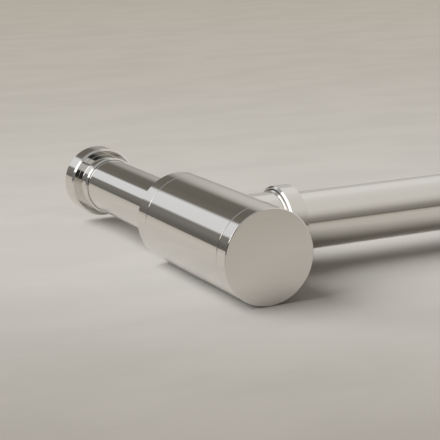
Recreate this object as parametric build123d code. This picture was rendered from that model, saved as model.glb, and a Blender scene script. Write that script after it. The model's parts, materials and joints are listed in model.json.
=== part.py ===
from build123d import *
import os

# Round bottle trap of 40 mm tube with a G1 1/2 union on its inlet.
# Sizes are in millimetres. Heights are measured up from the foot of the bottle
# and reaches out from the bottle's axis. The written parts stand in the frame
# of the installed trap: +Z up, +X along the outlet, origin in the inlet's mouth.

# Fits
slide_fit = 0.06  # seal lip to the tube that slides in it, on the radius
run_gap = 0.3  # turned faces that pass each other
seat_gap = 0.05  # flat faces that are pressed together
braze_gap = 0.05  # brazed faces
joint_gap = 0.2  # hairline between a cap's rim and the sleeve's end
edge_break = 0.25  # chamfer on each side of a hairline joint

# Tube, the same for inlet and outlet
tube_d = 40.0
tube_wall = 1.0
deburr = 0.2

# Bottle sleeve and base cap
bottle_d = 62.5
bottle_wall = 1.5
base_cap_h = 11.6
base_floor_t = 3.0
base_edge_chamfer = 0.5
base_cup_fillet = 3.0
base_collar_l = 9.9
base_thread_pitch = 2.0
collar_wall = 1.8
spigot_wall = 2.2
spigot_short_fall = 1.0  # how far the spigot ends below the collar's top
spigot_lead = 0.6
undercut_depth = 0.75
base_washer_t = 2.4
base_washer_lip = 0.3

# Outlet branch
outlet_h = 76.4
branch_clearance = 0.35
branch_wall = 1.95
pipe_stop_land = 1.75  # metal left between the bottle and the pipe's stop
pipe_play = 3.0  # pipe end to stop as fitted
nut_stand_off = 13.85  # bottle's side to the outlet nut
boss_stand_out = 1.6  # boss's face in front of the outlet nut
boss_l = 8.0
boss_step = 1.3
boss_face_chamfer = 0.8
boss_chamfer = 0.4
seat_depth = 3.0
seat_flare = 2.4

# Outlet nut and its seals
outlet_nut_l = 12.9
outlet_nut_wall = 2.1
outlet_nut_end_wall = 2.1
outlet_nut_chamfer = 1.35
outlet_nut_rear_chamfer = 0.8
outlet_nut_bore_chamfer = 0.3
outlet_seal_l = 6.0
outlet_seal_shoulder = 2.8
slip_washer_t = 0.8

# Outlet pipe
pipe_reach = 300.0
drawn_end_step = 0.25  # how far the end inside the nut is drawn under size

# Dip tube
dip_clearance = 0.8
dip_wall = 1.9
dip_foot_gap = 9.0  # free height between the dip tube and the cap's floor
dip_flange_t = 2.0
dip_bevel = 0.8

# Seat in the top of the sleeve
land_over_outlet = 1.6
ledge_t = 3.0
ledge_clearance = 0.4
gasket_t = 1.5
inlet_seal_l = 5.0
inlet_seal_land = 2.5
inlet_seal_taper = 2.6
inlet_slip_washer_t = 1.0
collar_set_back = 0.8

# Top cap
top_cap_h = 14.0
top_spigot_l = 7.6
top_plate_t = 4.0
top_edge_chamfer = 0.5
top_spigot_wall = 3.6
top_relief_depth = 4.0
top_relief_foot = 1.8

# Inlet tube
tube_in_dip = 45.0
inlet_reach = 118.5  # tube in view between the top cap and the union nut
flange_clearance = 0.32  # flange to the union's thread, on the radius
flange_t = 2.0
inlet_washer_t = 2.0

# Union nut
neck_gap = 0.15  # neck to the tube, on the radius
neck_l = 16.7
neck_wall = 1.35
neck_chamfer = 1.2
ring_l = 15.0
ring_d = 52.0
ring_chamfer = 1.4
ring_rear_chamfer = 0.5
shoulder_t = 1.5
slip_ring_t = 0.8
thread_bore_r = 22.42  # bore over the crests of a G1 1/2 internal thread
thread_relief = 1.6  # clears the full diameter of the thread, 47.8
thread_l = 8.3

# Radii that follow from the tube
tube_r = tube_d / 2
tube_bore_r = tube_r - tube_wall
seal_bore_r = tube_r + slide_fit
tube_hole_r = tube_r + run_gap
dip_bore_r = tube_r + dip_clearance
dip_r = dip_bore_r + dip_wall
ledge_bore_r = dip_r + ledge_clearance
branch_bore_r = tube_r + branch_clearance
branch_r = branch_bore_r + branch_wall
boss_r = branch_r + boss_step
outlet_nut_bore_r = boss_r + run_gap
outlet_nut_r = outlet_nut_bore_r + outlet_nut_wall
drawn_end_r = tube_r - drawn_end_step
flange_r = thread_bore_r - flange_clearance
neck_bore_r = tube_r + neck_gap
neck_r = neck_bore_r + neck_wall
ring_r = ring_d / 2
thread_relief_r = thread_bore_r + thread_relief

# Radii that follow from the bottle
bottle_r = bottle_d / 2
sleeve_bore_r = bottle_r - bottle_wall
collar_r = sleeve_bore_r - braze_gap
cap_bore_r = collar_r - collar_wall
spigot_r = cap_bore_r - run_gap
spigot_bore_r = spigot_r - spigot_wall
undercut_r = spigot_r - undercut_depth
in_collar_r = cap_bore_r - run_gap

# Heights in the base of the bottle
base_collar_foot = base_cap_h + seat_gap + base_washer_t + seat_gap
base_collar_top = base_collar_foot + base_collar_l
spigot_top = base_collar_top - spigot_short_fall
sleeve_foot = base_cap_h + joint_gap
dip_foot = base_floor_t + dip_foot_gap

# Heights of the stack of seals in the top of the bottle
top_collar_foot = outlet_h + tube_bore_r + land_over_outlet
ledge_top = top_collar_foot + ledge_t
gasket_top = ledge_top + gasket_t
dip_top = gasket_top + seat_gap + dip_flange_t
inlet_seal_foot = dip_top + seat_gap
inlet_seal_top = inlet_seal_foot + inlet_seal_l
inlet_slip_washer_foot = inlet_seal_top + seat_gap
inlet_slip_washer_top = inlet_slip_washer_foot + inlet_slip_washer_t
top_spigot_foot = inlet_slip_washer_top + seat_gap
sleeve_top = top_spigot_foot + top_spigot_l
top_collar_top = sleeve_top - collar_set_back
top_cap_foot = sleeve_top + joint_gap
top_cap_top = top_cap_foot + top_cap_h - joint_gap

# Heights of the union
neck_foot = top_cap_top + inlet_reach
ring_foot = neck_foot + neck_l
mouth_h = ring_foot + ring_l
shoulder_top = ring_foot + shoulder_t
slip_ring_foot = shoulder_top + seat_gap
flange_foot = slip_ring_foot + slip_ring_t + seat_gap
flange_top = flange_foot + flange_t
inlet_washer_foot = flange_top + seat_gap
thread_foot = mouth_h - thread_l
tube_foot = dip_top - tube_in_dip

# Reaches along the outlet
pipe_stop = bottle_r + pipe_stop_land
pipe_start = pipe_stop + pipe_play
nut_start = bottle_r + nut_stand_off
boss_start = nut_start - boss_stand_out
branch_end = boss_start + boss_l
seat_start = branch_end - seat_depth
nut_end = nut_start + outlet_nut_l
nut_wall_start = nut_end - outlet_nut_end_wall
outlet_washer_start = nut_wall_start - seat_gap - slip_washer_t
outlet_seal_end = outlet_washer_start - seat_gap
outlet_seal_start = outlet_seal_end - outlet_seal_l


def turned(*corners):
    """A solid turned about Z. Each corner is (radius, height), and a third
    value rounds it to that radius."""
    points = [corner[:2] for corner in corners]
    radii = [corner[2] if len(corner) > 2 else 0.0 for corner in corners]
    if any(radii):
        outline = FilletPolyline(*points, radius=radii, close=True)
    else:
        outline = Polyline(*points, close=True)
    return revolve(Plane.XZ * make_face(outline), Axis.Z)


def ring(inner_r, outer_r, foot, top):
    """A plain flat or tall ring between two radii and two heights."""
    return turned((inner_r, foot), (outer_r, foot), (outer_r, top), (inner_r, top))


def along_outlet(shape):
    """Turns a piece made about Z to lie along the outlet, at its height."""
    return Location((0, 0, outlet_h)) * Rot(0, 90, 0) * shape


def base_cap():
    """Screwed cup that closes the bottle: floor, rim and threaded spigot."""
    return turned(
        (0, 0),
        (bottle_r - base_edge_chamfer, 0),
        (bottle_r, base_edge_chamfer),
        (bottle_r, base_cap_h - edge_break),
        (bottle_r - edge_break, base_cap_h),
        (undercut_r, base_cap_h),
        (undercut_r, base_collar_foot),
        (spigot_r, base_collar_foot),
        (spigot_r, spigot_top - spigot_lead),
        (spigot_r - spigot_lead, spigot_top),
        (spigot_bore_r, spigot_top),
        (spigot_bore_r, base_floor_t, base_cup_fillet),
        (0, base_floor_t),
    )


def base_cap_washer():
    """Flat seal held in the undercut of the cap's spigot."""
    foot = base_cap_h + seat_gap
    return ring(undercut_r + seat_gap, sleeve_bore_r - base_washer_lip, foot, foot + base_washer_t)


def base_collar():
    """Threaded ring brazed into the foot of the sleeve."""
    return turned(
        (cap_bore_r, base_collar_foot + spigot_lead),
        (cap_bore_r + spigot_lead, base_collar_foot),
        (collar_r, base_collar_foot),
        (collar_r, base_collar_top),
        (cap_bore_r, base_collar_top),
    )


def bottle_sleeve():
    """Tube of the bottle with the hole that the outlet branch stands over."""
    shell = turned(
        (sleeve_bore_r, sleeve_foot),
        (bottle_r - edge_break, sleeve_foot),
        (bottle_r, sleeve_foot + edge_break),
        (bottle_r, sleeve_top - edge_break),
        (bottle_r - edge_break, sleeve_top),
        (sleeve_bore_r, sleeve_top),
    )
    hole = along_outlet(Pos(0, 0, bottle_r) * Cylinder(tube_bore_r, bottle_r))
    return shell - hole


def outlet_branch():
    """Short branch with a saddle root, a stop for the pipe, a threaded boss
    and a flared seat for the cone seal."""
    blank = turned(
        (tube_bore_r, 0),
        (branch_r, 0),
        (branch_r, boss_start),
        (boss_r - boss_face_chamfer, boss_start),
        (boss_r, boss_start + boss_face_chamfer),
        (boss_r, branch_end - boss_chamfer),
        (boss_r - boss_chamfer, branch_end),
        (branch_bore_r + seat_flare, branch_end),
        (branch_bore_r, seat_start),
        (branch_bore_r, pipe_stop),
        (tube_bore_r, pipe_stop),
    )
    bottle = Cylinder(bottle_r + braze_gap, 4 * branch_r)
    return along_outlet(blank) - Pos(0, 0, outlet_h) * bottle


def outlet_cone_seal():
    """Rubber cone between the branch's flared seat and the pipe."""
    slope = seat_flare / seat_depth
    nose_r = branch_bore_r + slope * (outlet_seal_start - seat_start) - seat_gap - slide_fit
    shoulder = outlet_seal_end - outlet_seal_shoulder
    shoulder_r = nose_r + slope * (shoulder - outlet_seal_start)
    bore_r = drawn_end_r + slide_fit
    return along_outlet(
        turned(
            (bore_r, outlet_seal_start),
            (nose_r, outlet_seal_start),
            (shoulder_r, shoulder),
            (shoulder_r, outlet_seal_end),
            (bore_r, outlet_seal_end),
        )
    )


def outlet_slip_washer():
    """Thin washer that lets the outlet nut turn on its seal."""
    end = outlet_washer_start + slip_washer_t
    return along_outlet(ring(tube_hole_r, outlet_nut_bore_r - run_gap, outlet_washer_start, end))


def outlet_nut():
    """Slim round compression nut on the branch's threaded boss."""
    return along_outlet(
        turned(
            (outlet_nut_bore_r + outlet_nut_bore_chamfer, nut_start),
            (outlet_nut_r - outlet_nut_chamfer, nut_start),
            (outlet_nut_r, nut_start + outlet_nut_chamfer),
            (outlet_nut_r, nut_end - outlet_nut_rear_chamfer),
            (outlet_nut_r - outlet_nut_rear_chamfer, nut_end),
            (tube_hole_r + edge_break, nut_end),
            (tube_hole_r, nut_end - edge_break),
            (tube_hole_r, nut_wall_start),
            (outlet_nut_bore_r, nut_wall_start),
            (outlet_nut_bore_r, nut_start + outlet_nut_bore_chamfer),
        )
    )


def outlet_pipe():
    """Plain tube, drawn under size from the branch's stop to the nut's face."""
    return along_outlet(
        turned(
            (tube_bore_r, pipe_start),
            (drawn_end_r - deburr, pipe_start),
            (drawn_end_r, pipe_start + deburr),
            (drawn_end_r, nut_end),
            (tube_r, nut_end + drawn_end_step),
            (tube_r, pipe_reach - deburr),
            (tube_r - deburr, pipe_reach),
            (tube_bore_r, pipe_reach),
        )
    )


def top_collar():
    """Threaded ring brazed into the top of the sleeve, with the ledge that
    carries the dip tube."""
    return turned(
        (ledge_bore_r, top_collar_foot),
        (collar_r, top_collar_foot),
        (collar_r, top_collar_top),
        (cap_bore_r + spigot_lead, top_collar_top),
        (cap_bore_r, top_collar_top - spigot_lead),
        (cap_bore_r, ledge_top),
        (ledge_bore_r, ledge_top),
    )


def dip_tube_gasket():
    """Flat seal between the collar's ledge and the dip tube's flange."""
    return ring(ledge_bore_r, in_collar_r, ledge_top, gasket_top)


def dip_tube():
    """Moulded tube that carries the water down to form the seal."""
    return turned(
        (dip_bore_r, dip_foot),
        (dip_r - dip_bevel, dip_foot),
        (dip_r, dip_foot + dip_bevel),
        (dip_r, dip_top - dip_flange_t),
        (in_collar_r, dip_top - dip_flange_t),
        (in_collar_r, dip_top),
        (dip_bore_r + dip_bevel, dip_top),
        (dip_bore_r, dip_top - dip_bevel),
    )


def inlet_cone_seal():
    """Rubber cone that grips the inlet tube."""
    land = inlet_seal_foot + inlet_seal_land
    return turned(
        (seal_bore_r, inlet_seal_foot),
        (in_collar_r, inlet_seal_foot),
        (in_collar_r, land),
        (in_collar_r - inlet_seal_taper, inlet_seal_top),
        (seal_bore_r, inlet_seal_top),
    )


def inlet_slip_washer():
    """Thin washer that lets the top cap turn on its seal."""
    return ring(tube_hole_r, in_collar_r, inlet_slip_washer_foot, inlet_slip_washer_top)


def top_cap():
    """Screwed cap whose spigot presses the seal on to the inlet tube."""
    spigot_bore = spigot_r - top_spigot_wall
    relief_r = spigot_bore + top_relief_depth
    plate_foot = top_cap_top - top_plate_t
    return turned(
        (spigot_bore, top_spigot_foot),
        (spigot_r - spigot_lead, top_spigot_foot),
        (spigot_r, top_spigot_foot + spigot_lead),
        (spigot_r, top_cap_foot),
        (bottle_r - edge_break, top_cap_foot),
        (bottle_r, top_cap_foot + edge_break),
        (bottle_r, top_cap_top - top_edge_chamfer),
        (bottle_r - top_edge_chamfer, top_cap_top),
        (tube_hole_r + edge_break, top_cap_top),
        (tube_hole_r, top_cap_top - edge_break),
        (tube_hole_r, plate_foot),
        (relief_r, plate_foot, 1.0),
        (relief_r, top_cap_foot + top_relief_foot, 1.0),
        (spigot_bore, top_cap_foot + top_relief_foot),
    )


def inlet_tube():
    """Tube from the dip tube up to the flange in the union nut."""
    return turned(
        (tube_bore_r, tube_foot),
        (tube_r - deburr, tube_foot),
        (tube_r, tube_foot + deburr),
        (tube_r, flange_foot, deburr),
        (flange_r, flange_foot),
        (flange_r, flange_top),
        (tube_bore_r, flange_top),
    )


def inlet_washer():
    """Flat seal between the tube's flange and the waste above it."""
    return ring(tube_bore_r, flange_r, inlet_washer_foot, inlet_washer_foot + inlet_washer_t)


def union_slip_ring():
    """Thrust ring between the tube's flange and the nut's shoulder."""
    return ring(tube_hole_r, flange_r, slip_ring_foot, slip_ring_foot + slip_ring_t)


def inlet_union_nut():
    """Round union nut: slim neck on the tube, then the threaded ring."""
    return turned(
        (neck_bore_r, neck_foot),
        (neck_r - neck_chamfer, neck_foot),
        (neck_r, neck_foot + neck_chamfer),
        (neck_r, ring_foot, deburr),
        (ring_r - ring_chamfer, ring_foot),
        (ring_r, ring_foot + ring_chamfer),
        (ring_r, mouth_h - ring_rear_chamfer),
        (ring_r - ring_rear_chamfer, mouth_h),
        (thread_bore_r, mouth_h),
        (thread_bore_r, thread_foot),
        (thread_relief_r, thread_foot),
        (thread_relief_r, shoulder_top),
        (neck_bore_r, shoulder_top),
    )


PIECES = (
    base_cap,
    base_cap_washer,
    base_collar,
    bottle_sleeve,
    outlet_branch,
    outlet_cone_seal,
    outlet_slip_washer,
    outlet_nut,
    outlet_pipe,
    top_collar,
    dip_tube_gasket,
    dip_tube,
    inlet_cone_seal,
    inlet_slip_washer,
    top_cap,
    inlet_tube,
    inlet_washer,
    union_slip_ring,
    inlet_union_nut,
)

os.makedirs("parts", exist_ok=True)
for piece in PIECES:
    solid = Pos(0, 0, -mouth_h) * piece()
    export_step(solid, f"parts/{piece.__name__}.step")
print(f"outlet {mouth_h - outlet_h:.2f} below the mouth, bottle's foot {mouth_h:.2f} below it")
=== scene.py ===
"""Looks of a polished nickel bottle trap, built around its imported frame.

The trap keeps its installed frame: +Z up out of the inlet, +X along the outlet.
It is shown lying down, so the studio has a lying frame of its own: x along the
outlet, y from the bottle's foot to the inlet, z up from the floor.
"""

import json
import logging
import math
from dataclasses import dataclass
from enum import Enum

import bmesh
import bpy
from mathutils import Matrix, Vector


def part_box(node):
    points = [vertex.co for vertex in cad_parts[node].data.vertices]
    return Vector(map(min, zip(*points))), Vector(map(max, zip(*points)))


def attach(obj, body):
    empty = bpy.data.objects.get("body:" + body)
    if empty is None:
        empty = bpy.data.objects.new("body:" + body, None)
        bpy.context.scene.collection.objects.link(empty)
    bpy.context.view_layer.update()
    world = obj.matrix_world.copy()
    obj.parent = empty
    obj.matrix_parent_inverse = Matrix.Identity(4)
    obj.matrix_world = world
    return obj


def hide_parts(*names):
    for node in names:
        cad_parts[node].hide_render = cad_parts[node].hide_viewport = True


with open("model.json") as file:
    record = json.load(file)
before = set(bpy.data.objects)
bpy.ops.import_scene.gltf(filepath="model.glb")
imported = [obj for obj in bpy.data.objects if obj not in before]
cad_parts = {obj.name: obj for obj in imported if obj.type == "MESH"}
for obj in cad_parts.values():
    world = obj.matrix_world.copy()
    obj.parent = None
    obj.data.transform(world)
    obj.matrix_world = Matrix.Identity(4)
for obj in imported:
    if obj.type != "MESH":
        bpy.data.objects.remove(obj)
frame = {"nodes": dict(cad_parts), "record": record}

LOG = logging.getLogger("bottle_trap")
MM = 0.001
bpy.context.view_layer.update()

SEGMENTS = 192  # in a full turn of a turned piece
THREAD_ROWS = 12  # in one pitch
EDGE_ROUNDING = 0.06 * MM
SHARP_ANGLE = math.radians(12)
GUIDE_RADIUS = 10 * MM  # of the circle that a section is swept round
GUARD_ROW = 0.12 * MM  # from a face's end, so that its shading stays straight up to there
SAME_PLACE = 1e-6
WELD = 1e-7
SLIVER = 1e-8

JOINT_GAP = 0.2 * MM  # between a cap and the sleeve
EDGE_BREAK = 0.32 * MM  # along a joint line
RUN_GAP = 0.3 * MM  # round a tube where it slides

RED_SHARE = 0.05  # gained by a unit of warmth
BLUE_SHARE = 0.08  # lost by a unit of warmth

LYING = Matrix(((1, 0, 0), (0, 0, -1), (0, 1, 0)))  # lying frame to row frame


class Slot(str, Enum):
    """The record's material slots."""

    NICKEL = "polished_nickel"
    BRASS = "turned_brass"
    PLASTIC = "moulded_polypropylene"
    RUBBER = "black_rubber"
    NYLON = "nylon"


class ThreadSide(Enum):
    """Which way a thread is cut from the face that carries it."""

    OUTSIDE = -1
    INSIDE = 1


class Graph:
    """A node tree being filled in, with short calls that add and join nodes."""

    def __init__(self, tree: bpy.types.NodeTree) -> None:
        """Starts on a shader or geometry tree, which it empties."""
        self.tree = tree
        tree.nodes.clear()

    def add(self, kind: str, inputs: dict | None = None, **settings: object) -> bpy.types.Node:
        """Adds one node.

        Args:
            kind: the node's type name.
            inputs: socket name or number to a value, or to the socket that feeds it.
            settings: the node's own properties.

        Returns:
            The new node.
        """
        node = self.tree.nodes.new(kind)
        for name, value in settings.items():
            setattr(node, name, value)
        for key, value in (inputs or {}).items():
            self.feed(node.inputs[key], value)
        return node

    def feed(self, socket: bpy.types.NodeSocket, value: object) -> None:
        """Gives an input its value, or joins it to the socket that feeds it."""
        if isinstance(value, bpy.types.NodeSocket):
            self.tree.links.new(value, socket)
        else:
            socket.default_value = value

    def math(self, operation: str, *values: object) -> bpy.types.NodeSocket:
        """The result of a Math node; its operands are numbers or sockets."""
        return self.add("ShaderNodeMath", dict(enumerate(values)), operation=operation).outputs[0]

    def ramp(self, value: object, low: float, high: float, start: float = 0.0, end: float = 1.0,
             smooth: bool = True) -> bpy.types.NodeSocket:
        """Maps a value from low..high to start..end and holds it there beyond.

        Args:
            value: the socket to map.
            low: where the ramp starts.
            high: where it ends.
            start: the result at low.
            end: the result at high.
            smooth: eased ends rather than a straight ramp.

        Returns:
            The result's socket.
        """
        kind = "SMOOTHSTEP" if smooth else "LINEAR"
        keys = {"Value": value, "From Min": low, "From Max": high, "To Min": start, "To Max": end}
        return self.add("ShaderNodeMapRange", keys, interpolation_type=kind).outputs[0]

    def mix(self, factor: object, first: object, second: object) -> bpy.types.NodeSocket:
        """Mixes two colours.

        Args:
            factor: 0 for the first, 1 for the second.
            first: a colour or its socket.
            second: a colour or its socket.

        Returns:
            The colour's socket.
        """
        node = self.add("ShaderNodeMix", data_type="RGBA")
        for name, value in (("Factor", factor), ("A", first), ("B", second)):
            kind = "VALUE" if name == "Factor" else "RGBA"
            self.feed(next(s for s in node.inputs if s.name == name and s.type == kind), value)
        return next(s for s in node.outputs if s.type == "RGBA")

    def place(self) -> bpy.types.NodeSocket:
        """The place on the object, in its own coordinates."""
        return self.add("ShaderNodeTexCoord").outputs["Object"]

    def split(self, vector: bpy.types.NodeSocket) -> bpy.types.bpy_prop_collection:
        """The x, y and z sockets of a vector."""
        return self.add("ShaderNodeSeparateXYZ", {0: vector}).outputs

    def noise(self, place: bpy.types.NodeSocket, scale: float, detail: float, roughness: float = 0.5,
              stretch: tuple | None = None) -> bpy.types.NodeSocket:
        """Adds a noise pattern.

        Args:
            place: where it is read.
            scale: its fineness.
            detail: its octaves.
            roughness: how strong the finer octaves are.
            stretch: scale of the place along each axis first.

        Returns:
            The pattern's value socket.
        """
        if stretch:
            place = self.add("ShaderNodeMapping", {"Vector": place, "Scale": stretch}).outputs[0]
        keys = {"Vector": place, "Scale": scale, "Detail": detail, "Roughness": roughness}
        return self.add("ShaderNodeTexNoise", keys).outputs[0]

    def bump(self, strength: float, depth: float, height: bpy.types.NodeSocket) -> bpy.types.NodeSocket:
        """The normal of a relief of that depth, whose height a pattern gives."""
        keys = {"Strength": strength, "Distance": depth, "Height": height}
        return self.add("ShaderNodeBump", keys).outputs[0]

    def bands(self, value: object, stops: tuple) -> bpy.types.NodeSocket:
        """A colour that runs evenly from stop to stop.

        Args:
            value: the socket that picks the place.
            stops: (value, level, warmth) in order.

        Returns:
            The colour's socket.
        """
        low, high = stops[0][0], stops[-1][0]
        node = self.add("ShaderNodeValToRGB", {0: self.ramp(value, low, high, smooth=False)})
        elements = node.color_ramp.elements
        elements.remove(elements[-1])
        for place, level, warmth in stops:
            share = (place - low) / (high - low)
            element = elements.new(share) if share > 0 else elements[0]
            element.position = share
            element.color = warm(level, warmth)
        return node.outputs[0]


def warm(level: float, warmth: float = 0.0) -> tuple[float, float, float, float]:
    """A near-neutral colour of that linear level, yellower with more warmth."""
    return (level * (1 + RED_SHARE * warmth), level, level * (1 - BLUE_SHARE * warmth), 1.0)


def darker(color: tuple, share: float) -> tuple:
    """A colour with its three channels at that share."""
    return tuple(share * c for c in color[:3]) + (1.0,)


@dataclass(frozen=True)
class Finish:
    """A finish that makes one procedural material."""

    name: str

    def surface(self, graph: Graph) -> dict:
        """Builds the patterns of the finish.

        Args:
            graph: the material's tree.

        Returns:
            Inputs of the Principled shader.
        """
        raise NotImplementedError

    def material(self) -> bpy.types.Material:
        """Returns the material, made on the first call."""
        found = bpy.data.materials.get(self.name)
        if found:
            return found
        made = bpy.data.materials.new(self.name)
        made.use_nodes = True
        graph = Graph(made.node_tree)
        shader = graph.add("ShaderNodeBsdfPrincipled", self.surface(graph)).outputs[0]
        graph.add("ShaderNodeOutputMaterial", {"Surface": self.seen(graph, shader)})
        return made

    def seen(self, graph: Graph, shader: bpy.types.NodeSocket) -> bpy.types.NodeSocket:
        """The shader that reaches the output: the Principled one as it is."""
        return shader


@dataclass(frozen=True)
class PolishedNickel(Finish):
    """Mirror-polished nickel plate with faint polishing haze and hairlines.

    haze is the roughness that it adds, haze_shade the share of the colour
    that it leaves, and hairlines their fineness along each axis.
    """

    name: str = "polished nickel plate"
    color: tuple = (0.80, 0.78, 0.745, 1.0)
    roughness: float = 0.055
    haze: float = 0.05
    haze_size: float = 22.0
    haze_shade: float = 0.975
    hairlines: tuple = (30.0, 30.0, 2600.0)
    hairline_depth: float = 0.0000012

    def surface(self, graph: Graph) -> dict:
        """Returns the shader's inputs; see Finish.surface."""
        place = graph.place()
        haze = graph.ramp(graph.noise(place, self.haze_size, 4.0, 0.6), 0.5, 0.75)
        tint = graph.mix(haze, self.color, darker(self.color, self.haze_shade))
        roughness = graph.math("MULTIPLY_ADD", haze, self.haze, self.roughness)
        lines = graph.noise(place, 1.0, 2.0, stretch=self.hairlines)
        return {"Base Color": tint, "Metallic": 1.0, "Roughness": roughness,
                "Normal": graph.bump(0.35, self.hairline_depth, lines)}


@dataclass(frozen=True)
class TurnedBrass(Finish):
    """Bare turned brass with fine tool lines, whose grooves are darker."""

    name: str = "turned brass"
    color: tuple = (0.78, 0.60, 0.32, 1.0)
    groove: tuple = (0.70, 0.50, 0.24, 1.0)
    lines: tuple = (40.0, 40.0, 4000.0)
    line_depth: float = 0.00002

    def surface(self, graph: Graph) -> dict:
        """Returns the shader's inputs; see Finish.surface."""
        lines = graph.noise(graph.place(), 1.0, 3.0, stretch=self.lines)
        return {"Base Color": graph.mix(lines, self.color, self.groove), "Metallic": 1.0,
                "Roughness": graph.ramp(lines, 0.3, 0.7, 0.28, 0.42),
                "Normal": graph.bump(0.5, self.line_depth, lines)}


@dataclass(frozen=True)
class Moulded(Finish):
    """Moulded plastic or rubber with a fine eroded grain and dull patches.

    spread is how far the roughness strays, cloud the fineness of the
    patches, and dull the share of the colour that is left in them.
    """

    name: str = "moulded polypropylene"
    color: tuple = (0.70, 0.70, 0.68, 1.0)
    roughness: float = 0.42
    grain: float = 1800.0
    grain_depth: float = 0.00001
    spread: float = 0.06
    cloud: float = 60.0
    dull: float = 0.9

    def surface(self, graph: Graph) -> dict:
        """Returns the shader's inputs; see Finish.surface."""
        place = graph.place()
        fine = graph.noise(place, self.grain, 3.0)
        broad = graph.noise(place, self.cloud, 2.0)
        low, high = self.roughness - self.spread, self.roughness + self.spread
        return {"Base Color": graph.mix(broad, self.color, darker(self.color, self.dull)),
                "Roughness": graph.ramp(fine, 0.3, 0.7, low, high),
                "Normal": graph.bump(0.5, self.grain_depth, fine)}


@dataclass(frozen=True)
class PlasterFloor(Finish):
    """Pale trowelled plaster that only its front side shows, with painted light falloff in its colour.

    Seen from behind it is clear, so that it never stands between the trap
    and a camera on the other side.

    Args:
        away: the direction along which the painted light falloff runs.
        painted_light_falloff: painted light falloff in the colour, brightest just behind the trap and darker
            towards the front and far away, as (metres that way, level, warmth) in order.
        sweep: squeeze of the trowel's marks along each axis.
        mark_depth: their depth.
        dull: how much darker they are.
    """

    name: str = "pale trowelled plaster"
    away: tuple = (0.449, 0.0, 0.894)
    # Painted light falloff: the floor's colour is painted brightest just behind the trap and darker towards
    # the front and far away, where the light falls off.
    painted_light_falloff: tuple = (
        (-0.55, 0.36, 1.2),
        (-0.36, 0.45, 0.8),
        (-0.20, 0.555, 0.5),
        (-0.10, 0.58, 0.5),
        (0.03, 0.56, 0.6),
        (0.40, 0.495, 0.8),
        (0.90, 0.445, 1.1),
        (2.00, 0.405, 1.4),
        (4.50, 0.20, 1.6),
    )
    sweep: tuple = (1.0, 1.0, 2.2)
    mark_depth: float = 0.0006
    dull: float = 0.045

    def seen(self, graph: Graph, shader: bpy.types.NodeSocket) -> bpy.types.NodeSocket:
        """Leaves the back side clear; see Finish.seen."""
        clear = graph.add("ShaderNodeBsdfTransparent").outputs[0]
        back = graph.add("ShaderNodeNewGeometry").outputs["Backfacing"]
        return graph.add("ShaderNodeMixShader", {0: back, 1: shader, 2: clear}).outputs[0]

    def surface(self, graph: Graph) -> dict:
        """Returns the shader's inputs; see Finish.surface."""
        place = graph.place()
        broad = graph.noise(place, 9.0, 5.0, 0.55, self.sweep)
        fine = graph.noise(place, 260.0, 3.0)
        away = graph.add("ShaderNodeVectorMath", {0: place, 1: self.away}, operation="DOT_PRODUCT").outputs[1]
        # Painted light falloff: the base colour is painted lighter and darker along that direction.
        plain = graph.bands(away, self.painted_light_falloff)
        marked = graph.mix(self.dull, plain, warm(0.0))
        tint = graph.mix(graph.ramp(broad, 0.38, 0.62), plain, marked)
        height = graph.math("MULTIPLY_ADD", fine, 0.15, broad)
        return {"Base Color": tint, "Roughness": 0.75, "Specular IOR Level": 0.25,
                "Normal": graph.bump(0.25, self.mark_depth, height)}


FINISHES = {
    Slot.NICKEL: PolishedNickel(),
    Slot.BRASS: TurnedBrass(),
    Slot.PLASTIC: Moulded(),
    Slot.RUBBER: Moulded("black rubber", (0.022, 0.022, 0.023, 1.0), 0.55, 900.0, 0.00002),
    Slot.NYLON: Moulded("natural nylon", (0.66, 0.63, 0.54, 1.0), 0.38, 1400.0, 0.000006),
}


@dataclass(frozen=True)
class Corner:
    """A corner of a turned outline.

    Args:
        radius: distance from the piece's axis.
        height: place along the axis.
        rounding: radius that breaks the corner.
    """

    radius: float
    height: float
    rounding: float = EDGE_ROUNDING

    def point(self) -> Vector:
        """The corner as a plane point."""
        return Vector((self.radius, self.height))


@dataclass(frozen=True)
class Thread:
    """A right-hand thread cut into a turned face.

    Args:
        radius: of the face that carries it.
        start: its lower end along the axis.
        end: its upper end.
        pitch: rise of one turn.
        depth: of the groove.
        side: outside or inside face.
    """

    radius: float
    start: float
    end: float
    pitch: float
    depth: float
    side: ThreadSide

    def spans(self, low: Vector, high: Vector) -> bool:
        """Whether the run between two outline points carries the thread."""
        near = all(abs(p.x - self.radius) < SAME_PLACE for p in (low, high))
        heights = sorted((low.y, high.y))
        return near and heights[0] < self.end and heights[1] > self.start


NO_THREAD = Thread(radius=1.0, start=0.0, end=1.0, pitch=1.0, depth=0.0, side=ThreadSide.OUTSIDE)


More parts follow.
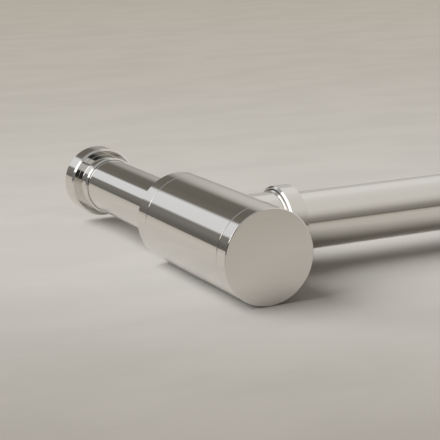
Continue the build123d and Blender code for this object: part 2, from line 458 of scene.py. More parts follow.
@dataclass
class Outline:
    """The closed section of a turned piece.

    Args:
        corners: in order round the section.
        thread: the thread on one of its faces, if any.
        rows: extra rows on the outer face, as (start, end, step).
    """

    FLAT_TURN = math.radians(5)
    ROOM_SHARE = 0.45
    SMALL_RADIUS = 0.5 * MM
    SMALL_STEPS = 3
    LARGE_STEPS = 10
    LEAST_ROWS = 4
    GUARDED_RUN = 6 * GUARD_ROW

    corners: list[Corner]
    thread: Thread | None = None
    rows: tuple[float, float, float] | None = None

    def rounded(self, index: int) -> list[Vector]:
        """The points that break one corner.

        Args:
            index: the corner's number.

        Returns:
            The arc's points, or the corner alone if it stays sharp.
        """
        corner = self.corners[index]
        here = corner.point()
        before = self.corners[index - 1].point() - here
        after = self.corners[(index + 1) % len(self.corners)].point() - here
        turn = math.pi - before.angle(after)
        if corner.rounding <= 0 or corner.radius < SAME_PLACE or turn < self.FLAT_TURN:
            return [here]
        room = self.ROOM_SHARE * min(before.length, after.length)
        set_back = min(corner.rounding * math.tan(turn / 2), room)
        radius = set_back / math.tan(turn / 2)
        middle = (before.normalized() + after.normalized()).normalized()
        centre = here + middle * (radius / math.cos(turn / 2))
        first = here + before.normalized() * set_back
        steps = self.SMALL_STEPS if radius < self.SMALL_RADIUS else self.LARGE_STEPS
        spoke = first - centre
        way = 1.0 if before.x * after.y - before.y * after.x < 0 else -1.0
        points = []
        for step in range(steps + 1):
            angle = way * turn * step / steps
            turned = Vector((spoke.x * math.cos(angle) - spoke.y * math.sin(angle),
                             spoke.x * math.sin(angle) + spoke.y * math.cos(angle)))
            points.append(centre + turned)
        return points

    def divided(self, low: Vector, high: Vector) -> list[Vector]:
        """The extra points of one straight run.

        Args:
            low: the run's first point.
            high: its last point.

        Returns:
            The points between them, without the ends.
        """
        run = high - low
        shares = []
        if self.thread and self.thread.spans(low, high):
            shares = self.row_shares(low, high, self.thread.start, self.thread.end,
                                     self.thread.pitch / THREAD_ROWS)
        elif self.rows and abs(run.x) < SAME_PLACE and abs(run.y) > self.LEAST_ROWS * self.rows[2]:
            shares = self.row_shares(low, high, *self.rows)
        if run.length > self.GUARDED_RUN:
            guard = GUARD_ROW / run.length
            shares = [guard] + [s for s in shares if 2 * guard < s < 1 - 2 * guard] + [1 - guard]
        return [low + run * share for share in shares]

    @staticmethod
    def row_shares(low: Vector, high: Vector, start: float, end: float, step: float) -> list[float]:
        """Even rows of an upright run, as shares of its length.

        Args:
            low: the run's first point.
            high: its last point.
            start: height of the first row.
            end: height of the last.
            step: about how far apart they stand.

        Returns:
            The shares of the rows inside the run, in order.
        """
        count = max(1, round((end - start) / step))
        heights = (start + (end - start) * i / count for i in range(count + 1))
        return sorted(s for s in ((h - low.y) / (high.y - low.y) for h in heights) if 0 < s < 1)

    def points(self) -> list[Vector]:
        """All points round the section, in order."""
        arcs = [self.rounded(i) for i in range(len(self.corners))]
        found = []
        for i, arc in enumerate(arcs):
            found += arc
            found += self.divided(arc[-1], arcs[(i + 1) % len(arcs)][0])
        return found


class Lathe:
    """Geometry Nodes that turn a section about its axis and cut its thread."""

    NUMBERS = ("Guide Radius", "Pitch", "Thread Depth", "Thread Start", "Thread End", "Thread Radius")
    FLANKS = (0.14, 0.86)  # share of half a pitch where a flank starts and ends
    RUN_OUT = 0.75  # pitches in which the groove fades at each end
    ON_FACE = 0.02 * MM

    def __init__(self) -> None:
        """Builds the tree once for every turned piece."""
        self.tree = bpy.data.node_groups.new("Turned piece", "GeometryNodeTree")
        self.tree.is_modifier = True
        self.sockets = {}
        self.socket("Geometry", "NodeSocketGeometry")
        self.socket("Segments", "NodeSocketInt")
        for name in self.NUMBERS:
            self.socket(name, "NodeSocketFloat")
        self.socket("Material", "NodeSocketMaterial")
        self.tree.interface.new_socket("Geometry", in_out="OUTPUT", socket_type="NodeSocketGeometry")
        self.fill()

    def socket(self, name: str, kind: str) -> None:
        """Adds a named input to the tree."""
        made = self.tree.interface.new_socket(name, in_out="INPUT", socket_type=kind)
        self.sockets[name] = made.identifier

    def fill(self) -> None:
        """Adds the nodes: the sweep round a guide circle, then the thread."""
        graph = Graph(self.tree)
        given = graph.add("NodeGroupInput").outputs
        section = graph.add("GeometryNodeMeshToCurve", {"Mesh": given["Geometry"]}).outputs[0]
        guide = graph.add("GeometryNodeCurvePrimitiveCircle", {"Resolution": given["Segments"],
                                                               "Radius": given["Guide Radius"]}).outputs[0]
        upright = graph.add("GeometryNodeSetCurveNormal", {"Curve": guide})
        upright.mode = "Z_UP"
        swept = graph.add("GeometryNodeCurveToMesh", {"Curve": upright.outputs[0],
                                                      "Profile Curve": section}).outputs[0]
        closed = graph.add("GeometryNodeMergeByDistance", {"Geometry": swept, "Distance": WELD}).outputs[0]
        axes = graph.split(graph.add("GeometryNodeInputPosition").outputs[0])
        square = graph.math("MULTIPLY_ADD", axes[0], axes[0], graph.math("MULTIPLY", axes[1], axes[1]))
        radius = graph.math("SQRT", square)
        turn = graph.math("DIVIDE", graph.math("ARCTAN2", axes[1], axes[0]), math.tau)
        climb = graph.math("SUBTRACT", graph.math("DIVIDE", axes[2], given["Pitch"]), turn)
        wave = graph.math("MULTIPLY", graph.math("PINGPONG", climb, 0.5), 2.0)
        flank = graph.ramp(wave, *self.FLANKS, smooth=False)
        run_out = graph.math("MULTIPLY", given["Pitch"], self.RUN_OUT)
        start_in = graph.math("ADD", given["Thread Start"], run_out)
        end_in = graph.math("SUBTRACT", given["Thread End"], run_out)
        rise = graph.ramp(axes[2], given["Thread Start"], start_in)
        fall = graph.ramp(axes[2], end_in, given["Thread End"], 1.0, 0.0)
        depth = graph.math("MULTIPLY", graph.math("MULTIPLY", rise, fall),
                           graph.math("MULTIPLY", flank, given["Thread Depth"]))
        share = graph.math("DIVIDE", depth, radius)
        offset = graph.add("ShaderNodeCombineXYZ", {0: graph.math("MULTIPLY", axes[0], share),
                                                    1: graph.math("MULTIPLY", axes[1], share)}).outputs[0]
        off_face = graph.math("ABSOLUTE", graph.math("SUBTRACT", radius, given["Thread Radius"]))
        on_face = graph.math("LESS_THAN", off_face, self.ON_FACE)
        cut = graph.add("GeometryNodeSetPosition", {"Geometry": closed, "Selection": on_face,
                                                    "Offset": offset})
        solid = graph.add("GeometryNodeRealizeInstances", {0: cut.outputs[0]}).outputs[0]
        dressed = graph.add("GeometryNodeSetMaterial", {"Geometry": solid, "Material": given["Material"]})
        graph.add("NodeGroupOutput", {0: dressed.outputs[0]})

    def turn(self, outline: Outline, name: str, material: bpy.types.Material) -> bpy.types.Mesh:
        """Turns one section into a plain closed mesh about Z.

        Args:
            outline: the section.
            name: for the mesh.
            material: for all of its faces.

        Returns:
            The mesh, with outward normals.
        """
        points = outline.points()
        section = bpy.data.meshes.new(name + "_section")
        edges = [(i, (i + 1) % len(points)) for i in range(len(points))]
        section.from_pydata([(p.x - GUIDE_RADIUS, -p.y, 0.0) for p in points], edges, [])
        blank = added(name + "_blank", section)
        modifier = blank.modifiers.new("Turned piece", "NODES")
        modifier.node_group = self.tree
        thread = outline.thread or NO_THREAD
        values = {
            "Segments": SEGMENTS, "Guide Radius": GUIDE_RADIUS, "Pitch": thread.pitch,
            "Thread Depth": thread.depth * thread.side.value, "Thread Start": thread.start,
            "Thread End": thread.end, "Thread Radius": thread.radius, "Material": material,
        }
        for key, value in values.items():
            modifier[self.sockets[key]] = value
        mesh = plain_mesh(blank, name)
        bpy.data.objects.remove(blank)
        bpy.data.meshes.remove(section)
        return mesh


def added(name: str, data: bpy.types.ID) -> bpy.types.Object:
    """A new object of the scene."""
    made = bpy.data.objects.new(name, data)
    bpy.context.scene.collection.objects.link(made)
    return made


def plain_mesh(source: bpy.types.Object, name: str) -> bpy.types.Mesh:
    """The evaluated shape of an object as a mesh with outward normals.

    Args:
        source: the object, with its modifiers live.
        name: for the mesh.

    Returns:
        The mesh.
    """
    bpy.context.view_layer.update()
    shaped = source.evaluated_get(bpy.context.evaluated_depsgraph_get())
    mesh = bpy.data.meshes.new_from_object(shaped)
    mesh.name = name
    work = bmesh.new()
    work.from_mesh(mesh)
    bmesh.ops.remove_doubles(work, verts=work.verts, dist=WELD)
    bmesh.ops.dissolve_degenerate(work, dist=SLIVER, edges=work.edges)
    bmesh.ops.recalc_face_normals(work, faces=work.faces)
    work.to_mesh(mesh)
    work.free()
    return mesh


class Datum:
    """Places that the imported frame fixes, in metres of the row frame."""

    tube_wall = 1.0 * MM

    def __init__(self) -> None:
        """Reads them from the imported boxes."""
        sleeve, pipe, nut = (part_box(node) for node in ("bottle_sleeve", "outlet_pipe", "outlet_nut"))
        self.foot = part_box("base_cap")[0].z
        self.sleeve_foot = sleeve[0].z
        self.sleeve_top = sleeve[1].z
        self.bottle_r = sleeve[1].x
        self.tube_r = 0.5 * (pipe[1].z - pipe[0].z)
        self.outlet_z = 0.5 * (nut[0].z + nut[1].z)

    @property
    def bore_r(self) -> float:
        """Bore of both tubes."""
        return self.tube_r - self.tube_wall

    def on_outlet(self) -> Matrix:
        """Carries a piece made about Z to the outlet's axis."""
        return Matrix.Translation((0, 0, self.outlet_z)) @ Matrix.Rotation(math.pi / 2, 4, "Y")


class Fitting:
    """A sub-assembly that turns its own pieces and dresses them."""

    def __init__(self, datum: Datum, lathe: Lathe) -> None:
        """Keeps the frame's places and the lathe that turns the sections."""
        self.datum = datum
        self.lathe = lathe

    def stand_for(self, node: str, body: str, mesh: bpy.types.Mesh) -> bpy.types.Object:
        """Shows a finished mesh in place of a node.

        Args:
            node: the node that it stands for.
            body: the body that it rides on.
            mesh: the finished mesh, in place in the row frame.

        Returns:
            The new piece.
        """
        mesh.shade_smooth()
        mesh.set_sharp_from_angle(angle=SHARP_ANGLE)
        piece = added("polished_" + node, mesh)
        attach(piece, body)
        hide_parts(node)
        LOG.info("%s: %d faces, for %s on %s", piece.name, len(mesh.polygons), node, body)
        return piece

    def turned(self, node: str, outline: Outline) -> bpy.types.Mesh:
        """Turns a polished section about the row's Z."""
        return self.lathe.turn(outline, "polished_" + node, FINISHES[Slot.NICKEL].material())


@dataclass
class BottleSizes:
    """Sizes of the bottle's sleeve and its two caps."""

    wall: float = 1.5 * MM
    base_floor: float = 3.0 * MM
    cap_edge: float = 0.5 * MM
    cup_fillet: float = 3.0 * MM
    washer_seat: float = 2.5 * MM
    undercut: float = 0.75 * MM
    base_spigot_r: float = 27.6 * MM
    base_spigot_wall: float = 2.2 * MM
    base_pitch: float = 2.0 * MM
    top_spigot_r: float = 27.6 * MM
    top_spigot_wall: float = 3.6 * MM
    top_plate: float = 4.0 * MM
    top_pitch: float = 1.5 * MM
    relief_depth: float = 4.0 * MM
    relief_foot: float = 1.8 * MM
    relief_fillet: float = 1.0 * MM
    thread_depth: float = 0.55 * MM
    lead: float = 0.6 * MM
    row_reach: float = 24 * MM
    row_step: float = 2 * MM
    drill_segments: int = 96


class Bottle(Fitting):
    """The sleeve with its base cap and top cap."""

    sizes = BottleSizes()

    def sleeve(self) -> None:
        """The plain tube of the bottle, open towards the branch."""
        d, s = self.datum, self.sizes
        bore = d.bottle_r - s.wall
        outline = Outline([
            Corner(bore, d.sleeve_foot),
            Corner(d.bottle_r - EDGE_BREAK, d.sleeve_foot),
            Corner(d.bottle_r, d.sleeve_foot + EDGE_BREAK),
            Corner(d.bottle_r, d.sleeve_top - EDGE_BREAK),
            Corner(d.bottle_r - EDGE_BREAK, d.sleeve_top),
            Corner(bore, d.sleeve_top),
        ], rows=(d.outlet_z - s.row_reach, d.outlet_z + s.row_reach, s.row_step))
        mesh = self.turned("bottle_sleeve", outline)
        self.stand_for("bottle_sleeve", "trap_body", self.bored(mesh))

    def bored(self, mesh: bpy.types.Mesh) -> bpy.types.Mesh:
        """Opens the sleeve where the branch stands over it.

        Args:
            mesh: the closed sleeve.

        Returns:
            The sleeve with its hole.
        """
        d = self.datum
        work = bmesh.new()
        bmesh.ops.create_cone(work, cap_ends=True, segments=self.sizes.drill_segments, radius1=d.bore_r,
                              radius2=d.bore_r, depth=d.bottle_r,
                              matrix=d.on_outlet() @ Matrix.Translation((0, 0, d.bottle_r)))
        drill_mesh = bpy.data.meshes.new("branch_drill")
        work.to_mesh(drill_mesh)
        work.free()
        drill = added("branch_drill", drill_mesh)
        blank = added("sleeve_blank", mesh)
        cut = blank.modifiers.new("Branch hole", "BOOLEAN")
        cut.operation = "DIFFERENCE"
        cut.object = drill
        made = plain_mesh(blank, "polished_bottle_sleeve")
        for item in (drill, blank):
            bpy.data.objects.remove(item)
        return made

    def base_cap(self) -> None:
        """The screwed cup with its face, rim and threaded spigot."""
        d, s = self.datum, self.sizes
        rim = d.sleeve_foot - JOINT_GAP
        seat = rim + s.washer_seat
        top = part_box("base_cap")[1].z
        undercut = s.base_spigot_r - s.undercut
        bore = s.base_spigot_r - s.base_spigot_wall
        thread = Thread(s.base_spigot_r, seat, top - s.lead, s.base_pitch, s.thread_depth, ThreadSide.OUTSIDE)
        outline = Outline([
            Corner(0, d.foot),
            Corner(d.bottle_r - s.cap_edge, d.foot),
            Corner(d.bottle_r, d.foot + s.cap_edge),
            Corner(d.bottle_r, rim - EDGE_BREAK),
            Corner(d.bottle_r - EDGE_BREAK, rim),
            Corner(undercut, rim),
            Corner(undercut, seat),
            Corner(s.base_spigot_r, seat),
            Corner(s.base_spigot_r, top - s.lead),
            Corner(s.base_spigot_r - s.lead, top),
            Corner(bore, top),
            Corner(bore, d.foot + s.base_floor, s.cup_fillet),
            Corner(0, d.foot + s.base_floor),
        ], thread)
        self.stand_for("base_cap", "base_cap", self.turned("base_cap", outline))

    def top_cap(self) -> None:
        """The screwed cap that the inlet tube passes through."""
        d, s = self.datum, self.sizes
        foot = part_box("top_cap")[0].z
        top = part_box("top_cap")[1].z
        rim = d.sleeve_top + JOINT_GAP
        bore = s.top_spigot_r - s.top_spigot_wall
        hole = d.tube_r + RUN_GAP
        relief = bore + s.relief_depth
        thread = Thread(s.top_spigot_r, foot + s.lead, rim - s.lead, s.top_pitch, s.thread_depth,
                        ThreadSide.OUTSIDE)
        outline = Outline([
            Corner(bore, foot),
            Corner(s.top_spigot_r - s.lead, foot),
            Corner(s.top_spigot_r, foot + s.lead),
            Corner(s.top_spigot_r, rim),
            Corner(d.bottle_r - EDGE_BREAK, rim),
            Corner(d.bottle_r, rim + EDGE_BREAK),
            Corner(d.bottle_r, top - s.cap_edge),
            Corner(d.bottle_r - s.cap_edge, top),
            Corner(hole + EDGE_BREAK, top),
            Corner(hole, top - EDGE_BREAK),
            Corner(hole, top - s.top_plate),
            Corner(relief, top - s.top_plate, s.relief_fillet),
            Corner(relief, rim + s.relief_foot, s.relief_fillet),
            Corner(bore, rim + s.relief_foot),
        ], thread)
        self.stand_for("top_cap", "top_cap", self.turned("top_cap", outline))

    def build(self) -> None:
        """Makes the bottle's visible pieces."""
        self.sleeve()
        self.base_cap()
        self.top_cap()


@dataclass
class InletSizes:
    """Sizes of the inlet tube and its union nut."""

    flange_t: float = 2.0 * MM
    deburr: float = 0.2 * MM
    neck_gap: float = 0.15 * MM
    neck_l: float = 16.7 * MM
    neck_wall: float = 1.35 * MM
    neck_chamfer: float = 1.2 * MM
    ring_chamfer: float = 1.4 * MM
    ring_rear_chamfer: float = 0.5 * MM
    shoulder: float = 1.5 * MM
    thread_bore_r: float = 22.42 * MM
    thread_l: float = 8.3 * MM
    thread_pitch: float = 2.309 * MM
    thread_depth: float = 1.2 * MM
    relief: float = 1.6 * MM


class InletUnion(Fitting):
    """The inlet tube and the nut that screws on to the basin waste."""

    sizes = InletSizes()

    def tube(self) -> None:
        """The flanged tube."""
        d, s = self.datum, self.sizes
        low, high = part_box("inlet_tube")
        neck = high.z - s.flange_t
        outline = Outline([
            Corner(d.bore_r, low.z),
            Corner(d.tube_r - s.deburr, low.z),
            Corner(d.tube_r, low.z + s.deburr),
            Corner(d.tube_r, neck, s.deburr),
            Corner(high.x, neck),
            Corner(high.x, high.z),
            Corner(d.bore_r, high.z),
        ])
        self.stand_for("inlet_tube", "inlet_tube", self.turned("inlet_tube", outline))

    def nut(self) -> None:
        """The union nut: slim neck, wide ring and its female thread."""
        d, s = self.datum, self.sizes
        low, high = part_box("inlet_union_nut")
        ring = low.z + s.neck_l
        neck_bore = d.tube_r + s.neck_gap
        neck_r = neck_bore + s.neck_wall
        relief_r = s.thread_bore_r + s.relief
        thread_foot = high.z - s.thread_l
        thread = Thread(s.thread_bore_r, thread_foot, high.z + s.thread_pitch, s.thread_pitch,
                        s.thread_depth, ThreadSide.INSIDE)
        outline = Outline([
            Corner(neck_bore, low.z),
            Corner(neck_r - s.neck_chamfer, low.z),
            Corner(neck_r, low.z + s.neck_chamfer),
            Corner(neck_r, ring, s.deburr),
            Corner(high.x - s.ring_chamfer, ring),
            Corner(high.x, ring + s.ring_chamfer),
            Corner(high.x, high.z - s.ring_rear_chamfer),
            Corner(high.x - s.ring_rear_chamfer, high.z),
            Corner(s.thread_bore_r, high.z, 0.0),
            Corner(s.thread_bore_r, thread_foot, 0.0),
            Corner(relief_r, thread_foot),
            Corner(relief_r, ring + s.shoulder),
            Corner(neck_bore, ring + s.shoulder),
        ], thread)
        self.stand_for("inlet_union_nut", "union_nut", self.turned("inlet_union_nut", outline))

    def build(self) -> None:
        """Makes the union's visible pieces."""
        self.tube()
        self.nut()


@dataclass
class OutletSizes:
    """Sizes of the branch, the outlet nut and the outlet pipe."""

    branch_clearance: float = 0.35 * MM
    branch_wall: float = 1.95 * MM
    stop_land: float = 1.75 * MM
    boss_l: float = 8.0 * MM
    boss_step: float = 1.3 * MM
    boss_face_chamfer: float = 0.8 * MM
    boss_chamfer: float = 0.4 * MM
    boss_bare: float = 2.0 * MM
    seat_depth: float = 3.0 * MM
    seat_flare: float = 2.4 * MM
    pitch: float = 1.5 * MM
    thread_depth: float = 0.45 * MM
    nut_wall: float = 2.1 * MM
    nut_end_wall: float = 2.1 * MM
    nut_chamfer: float = 1.35 * MM
    nut_rear_chamfer: float = 0.8 * MM
    nut_bore_chamfer: float = 0.3 * MM
    drawn_step: float = 0.25 * MM
    deburr: float = 0.2 * MM
    braze_gap: float = 0.05 * MM
    root: float = 0.01 * MM


class OutletUnion(Fitting):
    """The branch on the bottle's side, its compression nut and the pipe."""

    sizes = OutletSizes()

    def branch(self) -> None:
        """The branch, whose root follows the bottle's round side."""
        d, s = self.datum, self.sizes
        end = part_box("outlet_branch")[1].x
        bore = d.tube_r + s.branch_clearance
        outer = bore + s.branch_wall
        boss = outer + s.boss_step
        boss_start = end - s.boss_l
        stop = d.bottle_r + s.stop_land
        thread = Thread(boss, boss_start + s.boss_bare, end - s.boss_chamfer, s.pitch, s.thread_depth,
                        ThreadSide.OUTSIDE)
        outline = Outline([
            Corner(d.bore_r, 0, 0.0),
            Corner(outer, 0, 0.0),
            Corner(outer, boss_start),
            Corner(boss - s.boss_face_chamfer, boss_start),
            Corner(boss, boss_start + s.boss_face_chamfer),
            Corner(boss, end - s.boss_chamfer),
            Corner(boss - s.boss_chamfer, end),
            Corner(bore + s.seat_flare, end),
            Corner(bore, end - s.seat_depth),
            Corner(bore, stop),
            Corner(d.bore_r, stop),
        ], thread)
        mesh = self.turned("outlet_branch", outline)
        reach = d.bottle_r + s.braze_gap
        for vertex in mesh.vertices:
            if vertex.co.z < s.root:
                vertex.co.z = math.sqrt(reach ** 2 - vertex.co.y ** 2)
        mesh.transform(d.on_outlet())
        self.stand_for("outlet_branch", "trap_body", mesh)

    def nut(self) -> None:
        """The slim round compression nut."""
        d, s = self.datum, self.sizes
        low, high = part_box("outlet_nut")
        outer = high.y
        bore = outer - s.nut_wall
        hole = d.tube_r + RUN_GAP
        wall = high.x - s.nut_end_wall
        outline = Outline([
            Corner(bore + s.nut_bore_chamfer, low.x),
            Corner(outer - s.nut_chamfer, low.x),
            Corner(outer, low.x + s.nut_chamfer),
            Corner(outer, high.x - s.nut_rear_chamfer),
            Corner(outer - s.nut_rear_chamfer, high.x),
            Corner(hole + EDGE_BREAK, high.x),
            Corner(hole, high.x - EDGE_BREAK),
            Corner(hole, wall),
            Corner(bore, wall),
            Corner(bore, low.x + s.nut_bore_chamfer),
        ])
        mesh = self.turned("outlet_nut", outline)
        mesh.transform(d.on_outlet())
        self.stand_for("outlet_nut", "outlet_nut", mesh)

    def pipe(self) -> None:
        """The plain pipe with its drawn end in the nut."""
        d, s = self.datum, self.sizes
        low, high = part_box("outlet_pipe")
        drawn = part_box("outlet_nut")[1].x
        drawn_r = d.tube_r - s.drawn_step
        outline = Outline([
            Corner(d.bore_r, low.x),
            Corner(drawn_r - s.deburr, low.x),
            Corner(drawn_r, low.x + s.deburr),
            Corner(drawn_r, drawn),
            Corner(d.tube_r, drawn + s.drawn_step),
            Corner(d.tube_r, high.x - s.deburr),
            Corner(d.tube_r - s.deburr, high.x),
            Corner(d.bore_r, high.x),
        ])
        mesh = self.turned("outlet_pipe", outline)
        mesh.transform(d.on_outlet())
        self.stand_for("outlet_pipe", "outlet_pipe", mesh)

    def build(self) -> None:
        """Makes the outlet's visible pieces."""
        self.branch()
        self.nut()
        self.pipe()


class InnerParts:
    """Collars, seals and washers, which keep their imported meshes."""

    def build(self) -> None:
        """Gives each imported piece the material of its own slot."""
        for part in frame["record"]["subparts"]:
            node, slot = frame["nodes"][part["node"]], Slot(part["material_slot"])
            material = FINISHES[slot].material()
            node.data.materials.clear()
            node.data.materials.append(material)
            LOG.info("%s: %s", node.name, material.name)


@dataclass(frozen=True)
class Panel:
    """A soft panel of the studio as polished metal reflects it.

    Directions are degrees in the lying frame: bearing from +y towards +x,
    and elevation above the floor.

    Args:
        bearing: of its middle.
        half_width: to each side.
        low: its lower edge.
        high: its upper edge.
        color: its colour and level.
        side_blur: softness of its sides.
        end_blur: softness of its lower and upper edges.
    """

    bearing: float
    half_width: float
    low: float
    high: float
    color: tuple
    side_blur: float = 1.5
    end_blur: float = 3.0

    def paint(self, graph: Graph, direction: bpy.types.NodeSocket, color: object) -> bpy.types.NodeSocket:
        """Adds the panel over a colour.

        Args:
            graph: the world's tree.
            direction: unit direction in the lying frame.
            color: what shows beside it.

        Returns:
            The colour's socket.
        """
        keys = {"Vector": direction, "Angle": math.radians(self.bearing)}
        axes = graph.split(graph.add("ShaderNodeVectorRotate", keys, rotation_type="Z_AXIS").outputs[0])
        bearing = graph.math("ABSOLUTE", graph.math("ARCTAN2", axes[0], axes[1]))
        across = graph.ramp(bearing, *self.edge(self.half_width, self.side_blur), 1.0, 0.0)
        rise = graph.math("ARCSINE", axes[2])
        above = graph.ramp(rise, *self.edge(self.low, self.end_blur))
        below = graph.ramp(rise, *self.edge(self.high, self.end_blur), 1.0, 0.0)
        shows = graph.math("MULTIPLY", across, graph.math("MULTIPLY", above, below))
        return graph.mix(shows, color, self.color)

    @staticmethod
    def edge(middle: float, blur: float) -> tuple[float, float]:
        """Where a soft edge starts and ends, in radians."""
        return math.radians(middle - 0.5 * blur), math.radians(middle + 0.5 * blur)


class Run(Enum):
    """The axis of the lying frame that a set of strips runs along."""

    OUTLET = 0
    BOTTLE = 1


@dataclass(frozen=True)
class Strips:
    """Long strips of the studio, which turned metal reflects as straight bands.

    They run along one axis of the trap, so that each edge is at a steady
    angle about it: degrees from straight up, towards +x about the bottle
    and towards +y about the outlet.

    Args:
        run: the axis.
        ahead: share of a direction along that axis where the strips fade in.
        levels: (angle, level, warmth) in order.
    """

    run: Run
    ahead: tuple[float, float]
    levels: tuple

    def paint(self, graph: Graph, direction: bpy.types.NodeSocket, color: object) -> bpy.types.NodeSocket:
        """Adds the strips over a colour; see Panel.paint."""
        axes = graph.split(direction)
        across = axes[1 - self.run.value]
        angle = graph.math("MULTIPLY", graph.math("ARCTAN2", across, axes[2]), math.degrees(1))
        shows = graph.ramp(axes[self.run.value], *self.ahead)
        return graph.mix(shows, color, graph.bands(angle, self.levels))


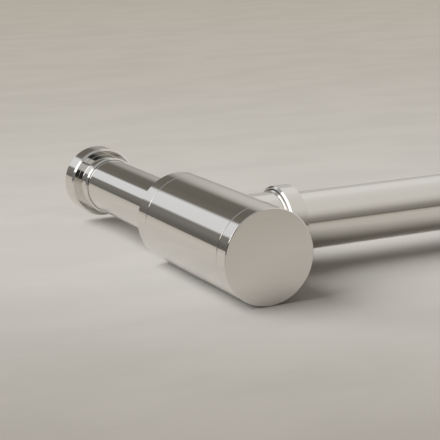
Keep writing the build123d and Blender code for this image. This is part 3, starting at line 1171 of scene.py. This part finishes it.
@dataclass
class Studio:
    """Floor, lamp, world and camera round the lying trap.

    Angles are degrees, and bearings and yaw run from +y towards +x. ambient
    and backdrop are a level and its warmth: the plain light on matt surfaces,
    and what the camera sees past the floor. Polished metal mirrors the sky,
    from horizon to ceiling, under the layers of surround.
    """

    datum: Datum
    floor_half: float = 4.0
    ambient: tuple = (0.25, 1.8)
    backdrop: tuple = (0.62, 0.4)
    horizon: float = 0.20
    ceiling: float = 0.40
    sky: tuple = (6.0, 40.0)
    key_bearing: float = -65.0
    key_elevation: float = 42.0
    key_spread: float = 60.0
    key_strength: float = 3.62
    yaw: float = 26.67
    pitch: float = 13.19
    roll: float = 0.91
    distance: float = 0.9124
    near: float = 0.01
    foot_pixel: tuple = (270.0, 257.8)
    picture: float = 440.0
    focal_pixels: float = 1482.0
    sensor: float = 36.0
    surround: tuple = (
        Panel(-168.0, 52.0, -14.0, 42.0, warm(0.03), 8.0, 4.0),
        Panel(-166.0, 8.5, 13.0, 26.0, warm(0.62), 1.5, 1.5),
        Panel(-171.0, 1.2, 13.0, 26.0, warm(0.03), 1.0, 1.5),
        Panel(-178.5, 5.0, 22.0, 26.0, warm(0.62), 1.5, 1.5),
        Panel(-85.0, 40.0, 20.0, 50.0, warm(1.5), 5.0, 5.0),
        Strips(Run.OUTLET, (0.20, 0.40), (
            (-92.0, 0.15, 1.5), (-84.0, 0.20, 1.4), (-73.0, 0.28, 1.0), (-65.0, 0.39, 1.0),
            (-57.0, 0.52, 0.8), (-41.0, 0.645, 0.6), (-8.0, 0.665, 0.6), (8.0, 0.70, 0.5),
            (24.0, 0.77, 0.3), (40.0, 0.775, 0.2), (56.0, 0.72, 0.3), (72.0, 0.60, 0.4),
            (92.0, 0.50, 0.5),
        )),
        Strips(Run.BOTTLE, (0.70, 0.78), (
            (-94.0, 0.12, 1.0), (-83.0, 0.12, 1.0), (-71.0, 0.19, 1.0), (-61.0, 0.20, 1.0),
            (-56.0, 0.76, -0.3), (-24.0, 0.78, -0.3), (-17.0, 0.165, 1.6), (3.0, 0.135, 1.8),
            (28.0, 0.145, 1.7), (40.0, 0.42, 1.0), (50.0, 0.53, 0.6), (66.0, 0.545, 0.6),
            (78.0, 0.50, 0.6), (88.0, 0.40, 0.6), (94.0, 0.30, 0.8),
        )),
        Strips(Run.BOTTLE, (0.865, 0.91), (
            (-94.0, 0.13, 1.0), (-71.0, 0.18, 1.0), (-61.0, 0.20, 1.0), (-56.0, 0.76, -0.3),
            (-24.0, 0.78, -0.3), (-17.0, 0.165, 1.6), (3.0, 0.14, 1.8), (32.0, 0.145, 1.7),
            (42.0, 0.25, 1.2), (52.0, 0.34, 0.9), (68.0, 0.37, 0.8), (84.0, 0.32, 0.8),
            (94.0, 0.28, 0.8),
        )),
    )

    def placed(self, spot: Vector) -> Vector:
        """Takes a place from the lying frame to the row frame."""
        return LYING @ spot + Vector((0, 0, self.datum.foot))

    def floor(self) -> None:
        """The pale floor under the lying trap, seen from its upper side only."""
        corners = [self.placed(Vector((x * self.floor_half, y * self.floor_half, -self.datum.bottle_r)))
                   for x, y in ((-1, -1), (1, -1), (1, 1), (-1, 1))]
        mesh = bpy.data.meshes.new("floor")
        mesh.from_pydata(corners, [], [(0, 1, 2, 3)])
        mesh.materials.append(PlasterFloor().material())
        added("floor", mesh)

    def key(self) -> None:
        """One wide far lamp, whose light falls evenly on the floor."""
        turn, rise = math.radians(self.key_bearing), math.radians(self.key_elevation)
        back = LYING @ Vector((math.sin(turn) * math.cos(rise), math.cos(turn) * math.cos(rise),
                               math.sin(rise)))
        side = LYING @ Vector((math.cos(turn), -math.sin(turn), 0))
        data = bpy.data.lights.new("key", "SUN")
        data.energy = self.key_strength
        data.angle = math.radians(self.key_spread)
        lamp = added("key", data)
        lamp.matrix_world = Matrix((side, back.cross(side), back)).transposed().to_4x4()
        lamp.visible_camera = False
        lamp.visible_glossy = False

    def world(self) -> None:
        """Plain light for matt surfaces, and panels and strips for polished ones."""
        world = bpy.data.worlds.new("studio")
        bpy.context.scene.world = world
        world.use_nodes = True
        graph = Graph(world.node_tree)
        direction = graph.add("ShaderNodeTexCoord").outputs["Generated"]
        axes = graph.split(direction)
        up = graph.math("MULTIPLY", axes[1], -1.0)
        lying = graph.add("ShaderNodeCombineXYZ", {0: axes[0], 1: axes[2], 2: up}).outputs[0]
        sky = graph.ramp(graph.math("ARCSINE", up), *(math.radians(e) for e in self.sky))
        color = graph.mix(sky, warm(self.horizon), warm(self.ceiling))
        for item in self.surround:
            color = item.paint(graph, lying, color)
        paths = graph.add("ShaderNodeLightPath").outputs
        plain = graph.mix(paths["Is Camera Ray"], warm(*self.ambient), warm(*self.backdrop))
        seen = graph.mix(paths["Is Glossy Ray"], plain, color)
        background = graph.add("ShaderNodeBackground", {"Color": seen})
        graph.add("ShaderNodeOutputWorld", {"Surface": background.outputs[0]})
        world.cycles.sampling_method = "NONE"

    def camera(self) -> None:
        """The photograph's view: where the base's centre falls fixes the aim."""
        yaw, pitch, roll = (math.radians(v) for v in (self.yaw, self.pitch, self.roll))
        forward = Vector((math.sin(yaw) * math.cos(pitch), math.cos(yaw) * math.cos(pitch), -math.sin(pitch)))
        level = Vector((math.cos(yaw), -math.sin(yaw), 0))
        down = forward.cross(level)
        right = math.cos(roll) * level + math.sin(roll) * down
        down = forward.cross(right)
        off = [(p - self.picture / 2) / self.focal_pixels * self.distance for p in self.foot_pixel]
        spot = -(forward * self.distance + right * off[0] + down * off[1])
        axes = [LYING @ v for v in (right, -down, -forward)]
        data = bpy.data.cameras.new("camera")
        data.sensor_width = self.sensor
        data.lens = self.focal_pixels / self.picture * self.sensor
        data.clip_start = self.near
        camera = added("camera", data)
        camera.matrix_world = Matrix.Translation(self.placed(spot)) @ Matrix(axes).transposed().to_4x4()
        bpy.context.scene.camera = camera

    def build(self) -> None:
        """Sets the whole studio."""
        self.floor()
        self.key()
        self.world()
        self.camera()
        bpy.context.scene.view_settings.view_transform = "Standard"


def main() -> None:
    """Builds the trap and its studio in order."""
    logging.basicConfig(level=logging.INFO, format="%(name)s: %(message)s")
    datum, lathe = Datum(), Lathe()
    InnerParts().build()
    for fitting in (Bottle, InletUnion, OutletUnion):
        fitting(datum, lathe).build()
    Studio(datum).build()


if __name__ == "__main__":
    main()
